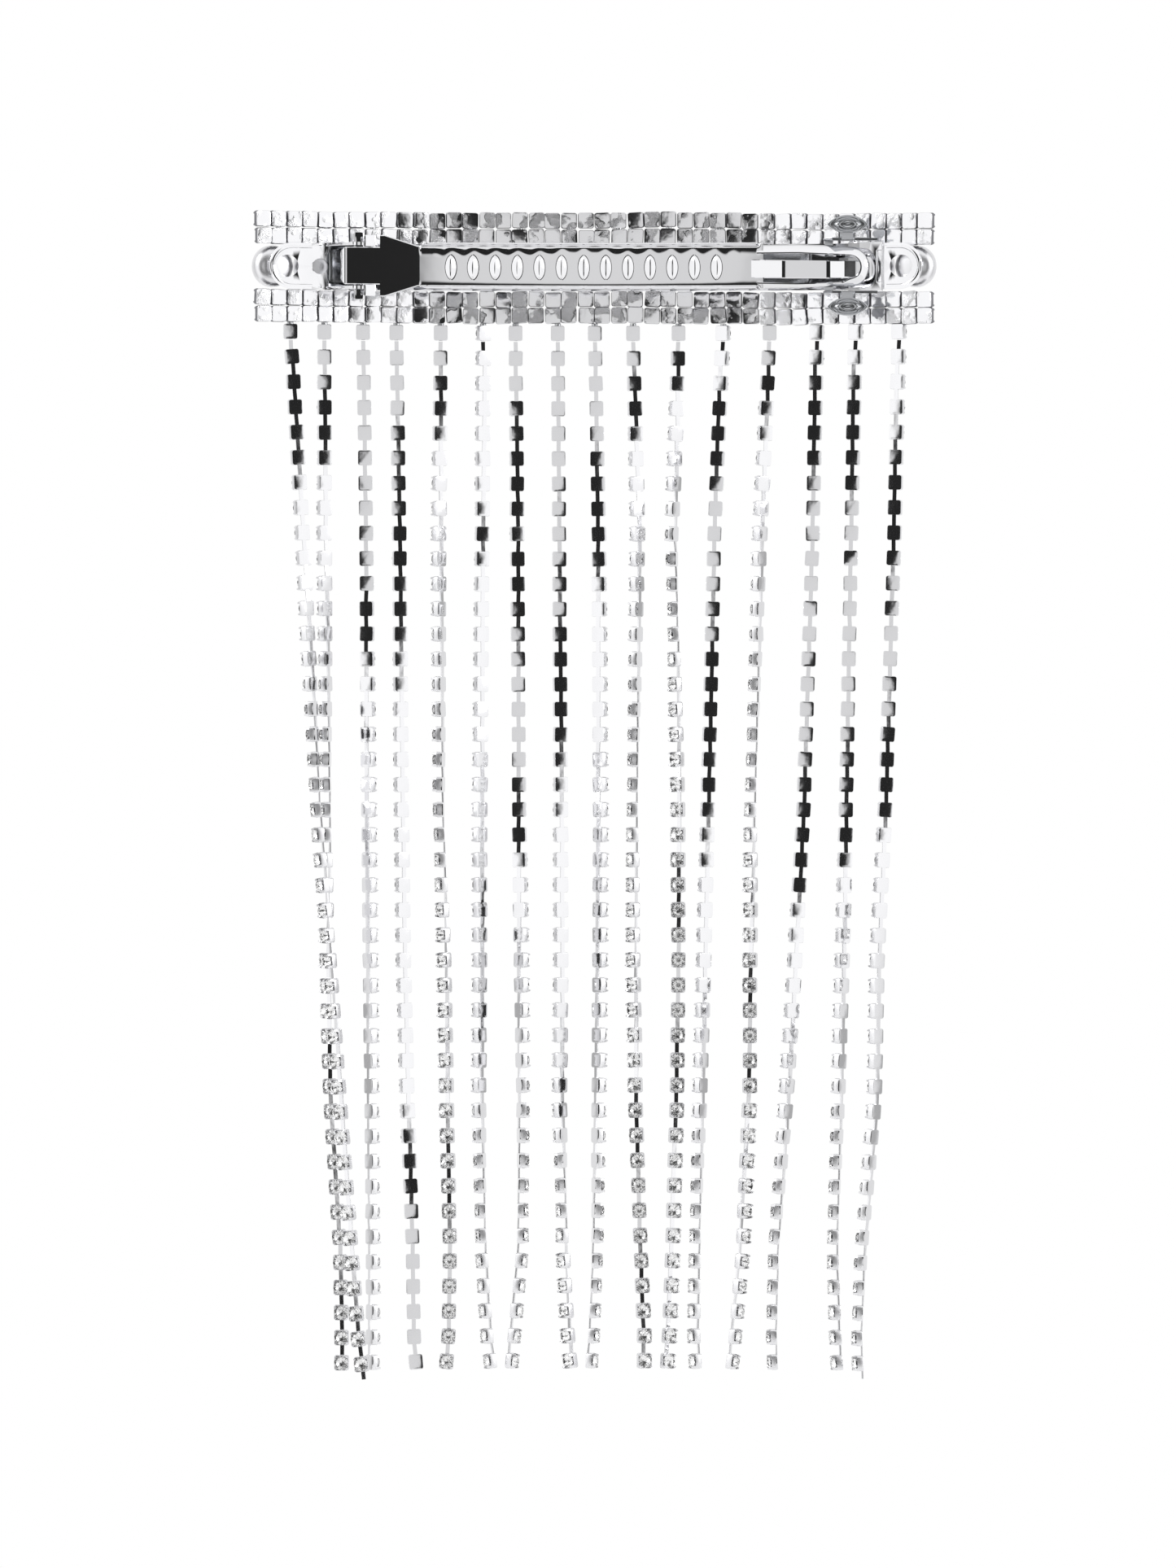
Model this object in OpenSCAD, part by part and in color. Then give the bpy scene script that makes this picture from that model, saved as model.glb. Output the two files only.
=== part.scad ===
/* [Header] */
// Radius of the bend of the header, at the backs of the cups
header_r = 120; // [110:5:150]
// Small square cups in each of the four close-set rows
row_cups = 42; // [30:1:46]
// Angle from the first to the last cup of a row, in degrees
row_span = 49.8; // [48:0.1:51]
// Large round cups in the centre row
big_cups = 16; // [10:1:17]
// Width of a header row's cup
row_cup_w = 2.4; // [2.15:0.05:2.4]
// Height of a header row's cup
row_cup_h = 2.45; // [2.35:0.05:2.45]
// Width of a large round cup
big_d = 6.4; // [5:0.1:6.4]

/* [Rhinestone cup] */
// Width of a small square cup
cup_w = 2.15; // [2:0.05:2.3]
// Height of a small square cup, along its chain
cup_h = 2.35; // [2.1:0.05:2.5]
// Depth of a small square cup, back to lip
cup_depth = 1.5; // [1.3:0.1:1.8]
// Width of the small stones
stone_d = 1.9; // [1.7:0.05:1.95]

/* [Fringe] */
// Distance from one hanging cup to the next
chain_pitch = 3.86; // [3.6:0.02:4.2]
// Hanging cups below the soldered one, in each strand
chain_cups = 41; // [20:1:41]
// Width of the strip between two cups
link_w = 0.6; // [0.4:0.05:0.9]
// Thickness of the strip between two cups
link_t = 0.3; // [0.2:0.05:0.4]

/* [Barrette] */
// Width of the base plate
base_w = 7.1; // [6.6:0.1:7.1]
// Thickness of the base plate
base_t = 0.8; // [0.6:0.1:0.9]
// Thickness of the clasp arm
arm_t = 0.6; // [0.5:0.1:0.7]
// Radius of the bend of the clasp arm
arm_r = 220; // [200:10:260]
// Radius of the two hinge tabs of the arm
tab_r = 0.84; // [0.7:0.01:0.84]
// Thickness of the tension bar
bar_t = 0.4; // [0.3:0.1:0.4]

/* [Hidden] */
$fn = 48;
eps = 0.01;

// Heights of the four rows above the centre line, at these places along X
wave_x = [-52, -25, 0, 10, 20, 30, 40, 52];
row_z = [[7.2, 7.35, 7.4, 7.6, 7.3, 7.05, 6.97, 6.95],
         [4.65, 4.75, 4.8, 4.95, 4.75, 4.55, 4.47, 4.45],
         [-4.75, -4.82, -4.7, -4.7, -4.85, -5.05, -5.08, -5.1],
         [-7.25, -7.3, -7.2, -7.2, -7.35, -7.53, -7.56, -7.58]];

// Places in the X-Y plane: the origin is in the middle of the jaw
header_y = 5;
arm_y = -2.83;
hinge_x = -36;
hinge_y = -5.8;
bar_r = 132;
bar_y = 3.1;
catch_x = 42;
wing_z = 4.05;

// Base plate
base_x0 = -49.8;
base_x1 = 50.3;
rim_w = 0.4;
rim_t = 0.45;
end_hole_x = 47;
end_hole_r = 1.7;
ear_z = 3.1;
ear_t = 0.5;
ear_bore_r = 0.9;

// Clasp arm
rib_count = 13;
rib_pitch = 3.4;
rib_x0 = -22;
arm_neck = 2.9;
arm_half = 3.6;
loop_half = 3.35;
loop_x = 42.1;
loop_round = 2.6;
loop_windows = [[0.95, 1.95], [-3, -1.9]];
bridge_z = [-2, 0.85];

// Header cups
cup_floor = 0.3;
hanger_z = -10;
tail_length = 1.3;
hinge_drop = cup_h / 2 + 0.23;
big_depth = 2.4;
row_pitch_angle = row_span / (row_cups - 1);
big_pitch_angle = 47.8 / (big_cups - 1);

// Each strand: how far it hangs to the side and how far it has turned, at these depths below its top cup
depths = [0, 31, 74, 96, 118, 141, 154, 162];
sway = [
    [-46.6, -44.8, -42.6, -40.7, -39.1, -37.3, -36.2, -35.2],
    [-41.4, -41.5, -41.2, -41.2, -40.5, -39.0, -38.8, -38.8],
    [-35.5, -35.0, -34.5, -34.3, -34.1, -33.9, -33.9, -34.0],
    [-30.4, -30.0, -29.7, -29.4, -28.8, -27.9, -27.7, -27.2],
    [-23.6, -24.0, -23.9, -23.2, -22.8, -22.2, -22.4, -23.0],
    [-17.1, -17.3, -17.7, -17.7, -17.8, -17.4, -16.6, -15.6],
    [-12.1, -11.9, -11.5, -11.1, -10.9, -11.0, -12.2, -12.9],
    [-5.6, -5.4, -5.2, -5.2, -5.4, -4.9, -4.2, -3.5],
    [0.1, 0.8, 1.1, 1.0, 0.8, 0.5, 0.0, -0.6],
    [6.0, 6.6, 5.9, 5.9, 6.3, 7.2, 7.8, 7.8],
    [13.0, 11.9, 12.8, 13.0, 12.8, 12.2, 11.7, 11.2],
    [19.9, 18.5, 17.4, 16.8, 16.2, 15.5, 15.3, 15.7],
    [27.0, 25.4, 24.0, 23.9, 24.0, 23.0, 21.8, 21.0],
    [34.3, 33.6, 32.1, 30.8, 29.4, 27.6, 27.3, 27.5],
    [40.2, 39.5, 38.6, 38.0, 37.4, 36.6, 37.0, 37.4],
    [46.8, 46.1, 44.5, 43.3, 42.9, 40.9, 40.3, 40.5]
];
turn = [
    [8, 24, 96, 130, 146, 158, 165, 165],
    [0, 32, 93, 145, 175, 175, 168, 165],
    [0, -3, -37, -43, -55, -58, -58, -58],
    [0, 13, 30, 31, 25, 0, 0, 10],
    [0, 44, 84, 128, 157, 175, 178, 178],
    [32, 19, 45, 47, 57, 100, 108, 110],
    [0, 17, -8, -43, -67, -100, -108, -110],
    [0, 5, 22, 32, 46, 113, 133, 136],
    [3, -14, -42, -47, -54, -83, -100, -100],
    [0, 41, 96, 123, 163, 187, 198, 200],
    [0, 68, 153, 178, 195, 207, 213, 215],
    [-25, 3, 17, 31, 53, 100, 105, 105],
    [0, 45, 100, 158, 200, 240, 250, 250],
    [-20, -1, 10, 24, 48, 90, 90, 90],
    [-22, -4, 9, 38, 62, 98, 100, 100],
    [-25, -12, 16, 43, 49, 70, 95, 95]
];
// How far the lower end of each strand hangs towards the hair side
lean = [3, 0, 0, 0, 0, 0, 0, 0, 0, 0, 0, 0, 0, 0, 0, 0];
strands = len(sway);

function pad2(n) = n < 10 ? str("0", n) : str(n);
function at_depth(values, d) = lookup(d, [for (k = [0:len(depths) - 1]) [depths[k], values[k]]]);
// Back of the header at a given x
function arc_y(x) = header_y - header_r + sqrt(header_r * header_r - x * x);
function strand_y(s) = arc_y(sway[s][0]) + cup_depth / 2 + 0.2;
function strand_point(s, d) =
    [at_depth(sway[s], d), strand_y(s) - lean[s] * d / 162, hanger_z - d];
function strand_tilt(s, d) =
    atan((at_depth(sway[s], d + 1.5) - at_depth(sway[s], d - 1.5)) / 3);

chain_names = [for (s = [1:strands]) str("strand_", pad2(s), "_chain")];
stone_names = [for (s = [1:strands]) str("strand_", pad2(s), "_stones")];
row_names = ["top_outer_row", "top_inner_row", "bottom_inner_row", "bottom_outer_row"];

// A round brilliant with its small lower flat at the origin, its table towards +Y
module stone(d) {
    rotate([-90, 0, 0])
        rotate_extrude()
            polygon([[0, 0], [0.06 * d, 0], [0.5 * d, 0.42 * d], [0.5 * d, 0.46 * d],
                     [0.3 * d, 0.62 * d], [0, 0.62 * d]]);
}

// A square cup open towards +Y, its back on y = 0
module square_cup(w = cup_w, h = cup_h) {
    difference() {
        translate([-w / 2, 0, -h / 2]) cube([w, cup_depth, h]);
        translate([0, cup_floor, 0])
            rotate([-90, 0, 0]) cylinder(h = cup_depth, r = stone_d / 2 + 0.03);
    }
}

module round_cup() {
    difference() {
        rotate([-90, 0, 0]) cylinder(h = big_depth, r = big_d / 2);
        translate([0, 0.4, 0]) rotate([-90, 0, 0]) cylinder(h = big_depth, r = big_d / 2 - 0.35);
    }
}

// Places its children on the bend of the header, turned outwards
module on_header(angle, z) {
    translate([0, header_y - header_r, z])
        rotate([0, 0, -angle]) translate([0, header_r, 0]) children();
}

// A strip bent round the Z axis of an arc whose outer face passes y at x = 0
module bent_strip(y, r_in, r_out, r_face, x0, x1, half) {
    a0 = asin(x0 / r_face);
    a1 = asin(x1 / r_face);
    translate([0, y - r_face, 0])
        rotate([0, 0, 90 - a1])
            rotate_extrude(angle = a1 - a0, $fn = 360)
                translate([r_in, -half]) square([r_out - r_in, 2 * half]);
}

// A flat outline in X and Z, made a block from y0 to y1
module outline_block(y0, y1) {
    translate([0, y1, 0]) rotate([90, 0, 0]) linear_extrude(y1 - y0) children();
}

module stadium(x0, x1, half) {
    translate([x0 + half, -half]) square([x1 - x0 - 2 * half, 2 * half]);
    translate([x0 + half, 0]) circle(r = half);
    translate([x1 - half, 0]) circle(r = half);
}

// Height of row r at cup k; the rows wave a little, as soldered by hand
function row_height(r, k) =
    let (x = header_r * sin(-row_span / 2 + k * row_pitch_angle))
        lookup(x, [for (i = [0:len(wave_x) - 1]) [wave_x[i], row_z[r][i]]]);

module row_cups_of(r) {
    for (k = [0:row_cups - 1])
        on_header(-row_span / 2 + k * row_pitch_angle, row_height(r, k)) square_cup(row_cup_w, row_cup_h);
}

module row_stones_of(r) {
    for (k = [0:row_cups - 1])
        on_header(-row_span / 2 + k * row_pitch_angle, row_height(r, k))
            translate([0, cup_floor + 0.02, 0]) stone(stone_d);
}

module centre_row_cups() {
    color("silver")
        for (k = [0:big_cups - 1])
            on_header(-23.9 + k * big_pitch_angle, 0) round_cup();
}

module centre_row_stones() {
    color("whitesmoke")
        for (k = [0:big_cups - 1])
            on_header(-23.9 + k * big_pitch_angle, 0) translate([0, 0.42, 0]) stone(big_d - 0.8);
}

module base_ears() {
    for (side = [-1, 1])
        translate([0, 0, side > 0 ? ear_z : -ear_z - ear_t])
            difference() {
                linear_extrude(ear_t) {
                    polygon([[-41.3, -2.8], [-40.2, -4.6], [-37, -7.1], [-35, -7.1],
                             [-33.4, -3.6], [-33.2, -0.2]]);
                    translate([hinge_x, hinge_y]) circle(r = 1.55);
                }
                translate([hinge_x, hinge_y, -1]) cylinder(h = ear_t + 2, r = ear_bore_r);
            }
}

module base_plate() {
    color("silver") {
        difference() {
            intersection() {
                bent_strip(header_y, header_r - base_t, header_r, header_r, base_x0, base_x1, base_w / 2);
                outline_block(-12, 8) stadium(base_x0, base_x1, base_w / 2);
            }
            for (x = [-end_hole_x, end_hole_x])
                translate([x, 10, 0]) rotate([90, 0, 0]) cylinder(h = 30, r = end_hole_r);
            translate([-42, 10, 0]) rotate([90, 0, 0]) cylinder(h = 30, r = 1.2);
        }
        base_rims();
        base_ears();
    }
}

// Raised edge of the plate, left out beside the hinge and the catch
module base_rims() {
    for (span = [[base_x0, -42.2], [-31, 33], [45, base_x1]])
        intersection() {
            bent_strip(header_y, header_r - base_t - rim_t, header_r - base_t + eps, header_r,
                       span[0], span[1], base_w / 2);
            outline_block(-12, 8)
                difference() {
                    stadium(base_x0, base_x1, base_w / 2);
                    stadium(base_x0 + rim_w, base_x1 - rim_w, base_w / 2 - rim_w);
                }
        }
}

module tension_bar() {
    color("lightgray")
        intersection() {
            bent_strip(bar_y, bar_r - bar_t, bar_r, bar_r, -40.7, 33, 2.5);
            outline_block(-12, 8) {
                translate([-40, -2.5]) square([72.3, 5]);
                translate([-40.7, -1.8]) square([74, 3.6]);
                for (x = [-40, 32.3])
                    for (z = [-1.8, 1.8])
                        translate([x, z]) circle(r = 0.7);
            }
        }
}

// Flat stretches of the arm: heel, neck, shoulder and the loop at the far end
module arm_outline() {
    translate([-38.5, -arm_neck]) square([7, 2 * arm_neck]);
    polygon([[-32.8, -4.75], [-32.8, 4.75], [-32, 4.75], [-27.2, 3.05], [-25, 3.05],
             [-25, -3.05], [-27.2, -3.05], [-32, -4.75]]);
    difference() {
        union() {
            translate([23, -loop_half]) square([loop_x - 23 - loop_round, 2 * loop_half]);
            translate([23, loop_round - loop_half]) square([loop_x - 23, 2 * (loop_half - loop_round)]);
            for (z = [-1, 1])
                translate([loop_x - loop_round, z * (loop_half - loop_round)]) circle(r = loop_round);
        }
        for (w = loop_windows)
            translate([26, w[0]]) square([13.6, w[1] - w[0]]);
    }
}

// Trough with sloping sides between the shoulder and the loop
module arm_channel() {
    a0 = asin(-27.2 / arm_r);
    a1 = asin(25 / arm_r);
    floor_in = arm_r - arm_t / 2;
    floor_out = arm_r + arm_t / 2;
    translate([0, arm_y - arm_r, 0])
        rotate([0, 0, 90 - a1])
            rotate_extrude(angle = a1 - a0, $fn = 360)
                polygon([[floor_out, -2.1], [floor_out, 2.1], [floor_out - 0.9, arm_half],
                         [floor_in - 0.9, arm_half], [floor_in, 2.1], [floor_in, -2.1],
                         [floor_in - 0.9, -arm_half], [floor_out - 0.9, -arm_half]]);
}

function arm_surface(x) = arm_y - arm_r + sqrt(arm_r * arm_r - x * x);

module clasp_arm() {
    color("gainsboro") {
        intersection() {
            bent_strip(arm_y, arm_r - arm_t / 2, arm_r + arm_t / 2, arm_r, -38.5, 42.1, 5);
            outline_block(-12, 8) arm_outline();
        }
        arm_channel();
        for (k = [0:rib_count - 1])
            let (x = rib_x0 + k * rib_pitch)
                translate([x, arm_surface(x) - arm_t / 2 + 0.3, -1.7]) cylinder(h = 3.4, r = 0.7);
        translate([-38.2, arm_surface(-38.2) - 0.2, -arm_neck]) cylinder(h = 2 * arm_neck, r = 0.5);
        for (side = [-1, 1])
            translate([hinge_x, hinge_y, side * 3.9 - 1.25]) cylinder(h = 2.5, r = tab_r);
        arm_bridge();
    }
}

// Faceted bridge that stands up along the middle of the loop
module arm_bridge() {
    translate([0, 0, bridge_z[0]])
        linear_extrude(bridge_z[1] - bridge_z[0])
            polygon([[23.9, -4.3], [28.7, -7.1], [35.8, -7.4], [40, -5.62], [40.8, -5.7],
                     [40.8, -5.2], [39.7, -5.2], [35.7, -6.9], [28.9, -6.6], [24.2, -3.8]]);
}

module catch_plate() {
    color("silver")
        difference() {
            bent_strip(header_y, header_r - base_t - 0.5, header_r - base_t, header_r, 39.4, 44.6, 3.75);
            translate([43.6, 10, 0]) rotate([90, 0, 0]) linear_extrude(30)
                translate([-0.35, -2.4]) square([0.7, 4.8]);
        }
}

// Almond shape between the points x = 0 and x = long
module leaf(long, half) {
    r = (long * long / 4 + half * half) / (2 * half);
    intersection_for (side = [-1, 1])
        translate([long / 2, side * (r - half)]) circle(r = r, $fn = 96);
}

// One side of the spring catch, on the +Z side; its barb starts at the height barb_z
module catch_wing(barb_z) {
    translate([0, 0, wing_z - 0.2])
        linear_extrude(0.4)
            polygon([[43.4, -5.2], [43.4, -6.4], [36.4, -7.4], [35.1, -4.4], [41, -4.4]]);
    translate([0, -6.9, 0]) rotate([90, 0, 0]) linear_extrude(0.4) {
        translate([35.7, 6.3]) leaf(6.2, 1.45);
        translate([37.6, wing_z - 0.2]) square([2.3, 1.2]);
    }
    translate([0, -7.2, 0]) rotate([90, 0, 0]) linear_extrude(0.25)
        translate([36.8, 6.3]) leaf(4, 0.85);
    translate([35.3, -4.8, barb_z]) cube([1.3, 0.4, wing_z - barb_z]);
    translate([0, 0, barb_z])
        linear_extrude(0.4) polygon([[35.3, -4.4], [36.6, -4.4], [36.6, -7], [35.9, -7]]);
}

module catch_wing_upper() { color("gray") catch_wing(1.45); }
module catch_wing_lower() { color("gray") mirror([0, 0, 1]) catch_wing(2.5); }

module hanger_place(s) {
    translate([sway[s][0], strand_y(s), hanger_z])
        rotate([0, 0, turn[s][0]]) translate([0, -cup_depth / 2, 0]) children();
}

module hanger_cups() {
    color("silver") for (s = [0:strands - 1]) hanger_place(s) square_cup();
}

module hanger_stones() {
    color("whitesmoke")
        for (s = [0:strands - 1])
            hanger_place(s) translate([0, cup_floor + 0.02, 0]) stone(stone_d);
}

// Beads of solder between the header's lowest row and the top cups, and between its rows
module solder_joints() {
    foot = hanger_z + cup_h / 2;
    color("darkgray") {
        for (s = [0:strands - 1])
            let (x = sway[s][0], k = (asin(x / header_r) + row_span / 2) / row_pitch_angle,
                 top = min(row_height(3, floor(k)), row_height(3, ceil(k))) - row_cup_h / 2)
                translate([x, strand_y(s), foot]) cylinder(h = top - foot, r = 0.5);
        for (k = [1:3:row_cups - 1])
            for (r = [0, 2])
                let (high = row_height(r, k), low = row_height(r + 1, k))
                    on_header(-row_span / 2 + k * row_pitch_angle, low + row_cup_h / 2)
                        translate([0, 0.5, 0]) cylinder(h = high - low - row_cup_h, r = 0.45);
    }
}

// Places its children at a depth of a strand, turned and tilted with it
module on_strand(s, d) {
    translate(strand_point(s, d))
        rotate([0, -strand_tilt(s, d), 0])
            rotate([0, 0, at_depth(turn[s], d)]) translate([0, -cup_depth / 2, 0]) children();
}

module strand_chain(s) {
    gap = chain_pitch - cup_h;
    color("silver") {
        for (k = [1:chain_cups])
            on_strand(s, k * chain_pitch) square_cup();
        translate(strand_point(s, hinge_drop - 0.1))
            rotate([0, 0, at_depth(turn[s], 0)])
                translate([-link_w / 2, -link_t / 2, -(chain_pitch - cup_h / 2 - hinge_drop + 0.08)])
                    cube([link_w, link_t, chain_pitch - cup_h / 2 - hinge_drop + 0.08]);
        for (k = [1:chain_cups - 1])
            on_strand(s, (k + 0.5) * chain_pitch)
                translate([-link_w / 2, 0.1, -(gap - 0.06) / 2]) cube([link_w, link_t, gap - 0.06]);
        if (s == 0 || s == strands - 1)
            on_strand(s, chain_cups * chain_pitch)
                translate([-link_w / 2, 0.1, -cup_h / 2 - tail_length]) cube([link_w, link_t, tail_length]);
    }
}

module strand_stones(s) {
    color("whitesmoke")
        for (k = [1:chain_cups])
            on_strand(s, k * chain_pitch) translate([0, cup_floor + 0.02, 0]) stone(stone_d);
}

base_plate();
clasp_arm();
tension_bar();
catch_plate();
catch_wing_upper();
catch_wing_lower();
centre_row_cups();
centre_row_stones();
hanger_cups();
hanger_stones();
solder_joints();
for (r = [0:3]) {
    color("silver") row_cups_of(r);
    color("whitesmoke") row_stones_of(r);
}
for (s = [0:strands - 1]) {
    strand_chain(s);
    strand_stones(s);
}
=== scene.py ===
import bmesh, bpy, math
import numpy as np
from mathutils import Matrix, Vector


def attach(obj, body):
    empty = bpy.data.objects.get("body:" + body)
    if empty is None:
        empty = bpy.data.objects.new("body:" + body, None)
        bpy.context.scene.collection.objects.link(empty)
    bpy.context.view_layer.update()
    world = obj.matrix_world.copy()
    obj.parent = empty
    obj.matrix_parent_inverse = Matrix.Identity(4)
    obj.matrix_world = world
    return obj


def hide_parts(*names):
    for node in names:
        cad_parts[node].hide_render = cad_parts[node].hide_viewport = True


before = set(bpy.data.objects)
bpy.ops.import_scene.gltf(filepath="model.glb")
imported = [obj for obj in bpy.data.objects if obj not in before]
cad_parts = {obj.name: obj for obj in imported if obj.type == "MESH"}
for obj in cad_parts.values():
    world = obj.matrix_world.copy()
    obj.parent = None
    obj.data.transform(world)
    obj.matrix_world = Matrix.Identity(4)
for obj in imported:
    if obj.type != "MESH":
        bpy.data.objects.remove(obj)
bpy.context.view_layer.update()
print("frame loaded")

mm = 0.001
rng = np.random.default_rng(16)

def linearColour(hexColour):
    # sRGB hex to linear, channel by channel
    c = np.array([int(hexColour[i:i + 2], 16) for i in (1, 3, 5)]) / 255
    lin = np.where(c <= 0.04045, c / 12.92, ((c + 0.055) / 1.055) ** 2.4)
    return (*lin, 1.0)

def addNode(tree, kind, settings=None, links=None):
    # one node: settings are properties or input values, links are input name to output socket
    node = tree.nodes.new(kind)
    for key, value in (settings or {}).items():
        if isinstance(key, str) and hasattr(node, key):
            setattr(node, key, value)
        else:
            node.inputs[key].default_value = value
    for key, socket in (links or {}).items():
        tree.links.new(socket, node.inputs[key])
    return node

def emptyMaterial(name):
    material = bpy.data.materials.new(name)
    material.use_nodes = True
    material.node_tree.nodes.clear()
    return material, material.node_tree

def addMesh(name, verts, faces, body, nodes=(), materials=(), slots=None, smoothAngle=None, slotName=None):
    # verts in millimetres; the object stays at the origin
    mesh = bpy.data.meshes.new(name)
    mesh.from_pydata((np.asarray(verts) * mm).tolist(), [], [list(map(int, f)) for f in faces])
    for material in materials:
        mesh.materials.append(material)
    if slots is not None:
        mesh.polygons.foreach_set("material_index", np.asarray(slots, dtype=np.int32))
    if smoothAngle is not None:
        mesh.polygons.foreach_set("use_smooth", np.ones(len(mesh.polygons), dtype=bool))
        mesh.set_sharp_from_angle(angle=math.radians(smoothAngle))
    mesh.update()
    piece = bpy.data.objects.new(name, mesh)
    bpy.context.scene.collection.objects.link(piece)
    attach(piece, body)
    if nodes:
        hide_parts(*nodes)
    return piece

def repeated(template, spots):
    # copies of one (verts, faces) shape at every (origin, turn) of spots, as one mesh
    verts, faces = template
    origins, turns = spots
    placed = np.einsum("kij,vj->kvi", turns, verts) + origins[:, None, :]
    count = len(verts)
    allFaces = [[i + k * count for i in f] for k in range(len(origins)) for f in faces]
    return placed.reshape(-1, 3), allFaces

def joined(parts):
    # several (verts, faces) as one
    verts, faces, base = [], [], 0
    for v, f in parts:
        verts.append(v)
        faces += [[i + base for i in face] for face in f]
        base += len(v)
    return np.concatenate(verts), faces

def planeTurn(angles, i, j):
    # one matrix for each angle in degrees, turning axis i towards axis j
    a = np.radians(np.atleast_1d(angles).astype(float))
    m = np.tile(np.eye(3), (len(a), 1, 1))
    m[:, i, i] = m[:, j, j] = np.cos(a)
    m[:, i, j] = -np.sin(a)
    m[:, j, i] = np.sin(a)
    return m

def turnX(angles):
    return planeTurn(angles, 1, 2)

def turnY(angles):
    return planeTurn(angles, 2, 0)

def turnZ(angles):
    return planeTurn(angles, 0, 1)

def gridFaces(rows, cols, closed=False):
    # quads of a rows x cols grid of points, closed joins the last column to the first
    r, c = np.meshgrid(np.arange(rows - 1), np.arange(cols if closed else cols - 1), indexing="ij")
    here, beside = r * cols + c, r * cols + (c + 1) % cols
    return np.stack([here, beside, beside + cols, here + cols], -1).reshape(-1, 4).tolist()

def tubeFaces(rows, cols):
    # a grid closed round, with a cap over its first and its last ring
    last = cols * (rows - 1)
    return gridFaces(rows, cols, True) + [list(range(cols - 1, -1, -1)), list(range(last, last + cols))]

def roundedBox(steps, power):
    # cosine and sine of a turn, drawn towards the corners of a square by the power
    a = np.arange(steps) * 2 * np.pi / steps
    c, d = np.cos(a), np.sin(a)
    return np.sign(c) * np.abs(c) ** power, np.sign(d) * np.abs(d) ** power

view = {
    "centre": (-0.94, 0.0, -79.4),   # mm, what the middle of the picture looks at
    "height": 240.9,                 # mm of the object's plane from bottom to top
    "distance": 2000.0,              # mm, far away, as a long lens sees it
}

camera = bpy.data.cameras.new("camera")
camera.sensor_width = 36
camera.lens = 36 * view["distance"] / view["height"]
camera.clip_end = 20
cameraObject = bpy.data.objects.new("camera", camera)
bpy.context.scene.collection.objects.link(cameraObject)
cameraObject.location = Vector((view["centre"][0], -view["distance"], view["centre"][2])) * mm
cameraObject.rotation_euler = (math.radians(90), 0, 0)
bpy.context.scene.camera = cameraObject
bpy.context.scene.view_settings.view_transform = "Standard"

studio = {
    # brightness of the surroundings by the angle from the lens, in degrees
    "angles": (0, 12, 15.5, 36, 42, 72, 95, 100, 110, 116, 180),
    "tones": (0.78, 0.76, 0.02, 0.02, 1.12, 1.04, 0.8, 0.46, 0.46, 0.82, 0.92),
    "brightest": 1.3,   # what the top of the curve stands for
    "aim": (0, 0, -0.08),   # m, what the two lamps point at
}

def studioWorld():
    # a white tent with a dark hood round the lens and a grey gap between the side walls and the backdrop
    world = bpy.data.worlds.new("studio")
    bpy.context.scene.world = world
    world.use_nodes = True
    tree = world.node_tree
    tree.nodes.clear()
    where = addNode(tree, "ShaderNodeTexCoord")
    axes = addNode(tree, "ShaderNodeSeparateXYZ", None, {0: where.outputs["Generated"]})
    back = addNode(tree, "ShaderNodeMath", {"operation": "MULTIPLY", 1: -1.0}, {0: axes.outputs["Y"]})
    angle = addNode(tree, "ShaderNodeMath", {"operation": "ARCCOSINE"}, {0: back.outputs[0]})
    share = addNode(tree, "ShaderNodeMath", {"operation": "DIVIDE", 1: math.pi}, {0: angle.outputs[0]})
    ramp = addNode(tree, "ShaderNodeFloatCurve", None, {"Value": share.outputs[0]})
    curve = ramp.mapping.curves[0]
    for degrees, tone in zip(studio["angles"][1:-1], studio["tones"][1:-1]):
        curve.points.new(degrees / 180, tone / studio["brightest"])
    curve.points[0].location = (0, studio["tones"][0] / studio["brightest"])
    curve.points[-1].location = (1, studio["tones"][-1] / studio["brightest"])
    for point in curve.points:
        point.handle_type = "VECTOR"
    ramp.mapping.update()
    tone = addNode(tree, "ShaderNodeMath", {"operation": "MULTIPLY", 1: studio["brightest"]},
                   {0: ramp.outputs[0]})
    ray = addNode(tree, "ShaderNodeLightPath")
    shown = addNode(tree, "ShaderNodeMix", {"data_type": "FLOAT", 3: 1.0},
                    {0: ray.outputs["Is Camera Ray"], 2: tone.outputs[0]})
    light = addNode(tree, "ShaderNodeBackground", {"Color": (1, 1, 1, 1)}, {"Strength": shown.outputs[0]})
    addNode(tree, "ShaderNodeOutputWorld", None, {"Surface": light.outputs[0]})

def softLight(name, place, size, power):
    lamp = bpy.data.lights.new(name, "AREA")
    lamp.shape = "RECTANGLE"
    lamp.size, lamp.size_y = size
    lamp.energy = power
    lampObject = bpy.data.objects.new(name, lamp)
    bpy.context.scene.collection.objects.link(lampObject)
    lampObject.location = place
    aim = Vector(studio["aim"]) - Vector(place)
    lampObject.rotation_euler = aim.to_track_quat("-Z", "Y").to_euler()

studioWorld()
softLight("keyLight", (-1.1, -0.4, 0.7), (0.4, 0.4), 5)
softLight("fillLight", (1.2, -0.4, 0.3), (0.4, 0.5), 4)

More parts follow.
